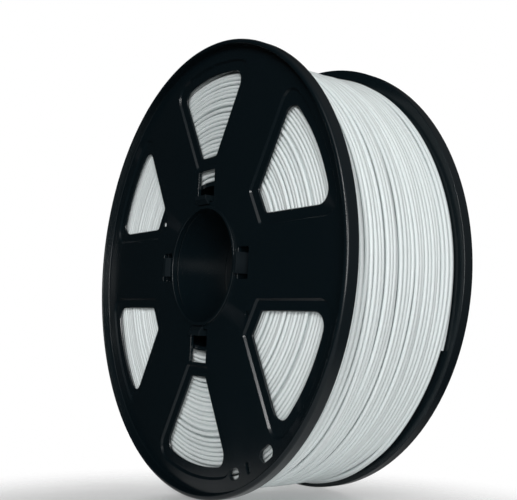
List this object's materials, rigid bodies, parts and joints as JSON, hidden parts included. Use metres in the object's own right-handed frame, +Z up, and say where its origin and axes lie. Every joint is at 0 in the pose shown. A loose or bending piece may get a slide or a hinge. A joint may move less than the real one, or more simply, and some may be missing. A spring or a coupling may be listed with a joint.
{
  "type": "filament spool",
  "caption": "Full spool of white 3D-printer filament: windowed flanges snapped round a hub, wound nearly to the rims.",
  "frame": {"origin": "on the floor, under the middle of the spool as it stands on its rims", "axes": "+Y along the spool's axis from the front flange to the rear flange, +Z up, +X to the right seen from the front"},
  "size_m": [0.1998, 0.066, 0.1999],
  "materials": {
    "black_plastic": "satin moulded black plastic",
    "white_filament": "smooth, softly glossy extruded strand"
  },
  "bodies": {
    "spool": {"front_flange": "black_plastic", "front_bore_sleeve": "black_plastic", "front_drum_half": "black_plastic", "front_hub_rib_1": "black_plastic", "front_hub_rib_2": "black_plastic", "front_hub_rib_3": "black_plastic", "front_hub_rib_4": "black_plastic", "rear_flange": "black_plastic", "rear_bore_sleeve": "black_plastic", "rear_drum_half": "black_plastic", "rear_hub_rib_1": "black_plastic", "rear_hub_rib_2": "black_plastic", "rear_hub_rib_3": "black_plastic", "rear_hub_rib_4": "black_plastic", "filament_winding": "white_filament", "filament_last_turn": "white_filament", "filament_first_end": "white_filament"},
    "hook_right": {"snap_hook_right": "black_plastic"},
    "hook_top": {"snap_hook_top": "black_plastic"},
    "hook_left": {"snap_hook_left": "black_plastic"},
    "hook_bottom": {"snap_hook_bottom": "black_plastic"}
  },
  "joints": [
    {"name": "hook_right_flex", "type": "hinge", "parent": "spool", "child": "hook_right", "pos_m": [0.02992, 0.0271, 0.09775], "axis": [0.0732, 0, 0.9973], "range_deg": [0, 2.5], "stiffness_Nm_per_rad": 0.4},
    {"name": "hook_top_flex", "type": "hinge", "parent": "spool", "child": "hook_top", "pos_m": [0.0022, 0.0271, 0.12987], "axis": [-0.9973, 0, 0.0732], "range_deg": [0, 2.5], "stiffness_Nm_per_rad": 0.4},
    {"name": "hook_left_flex", "type": "hinge", "parent": "spool", "child": "hook_left", "pos_m": [-0.02992, 0.0271, 0.10214], "axis": [-0.0732, 0, -0.9973], "range_deg": [0, 2.5], "stiffness_Nm_per_rad": 0.4},
    {"name": "hook_bottom_flex", "type": "hinge", "parent": "spool", "child": "hook_bottom", "pos_m": [-0.0022, 0.0271, 0.07003], "axis": [0.9973, 0, -0.0732], "range_deg": [0, 2.5], "stiffness_Nm_per_rad": 0.4}
  ]
}
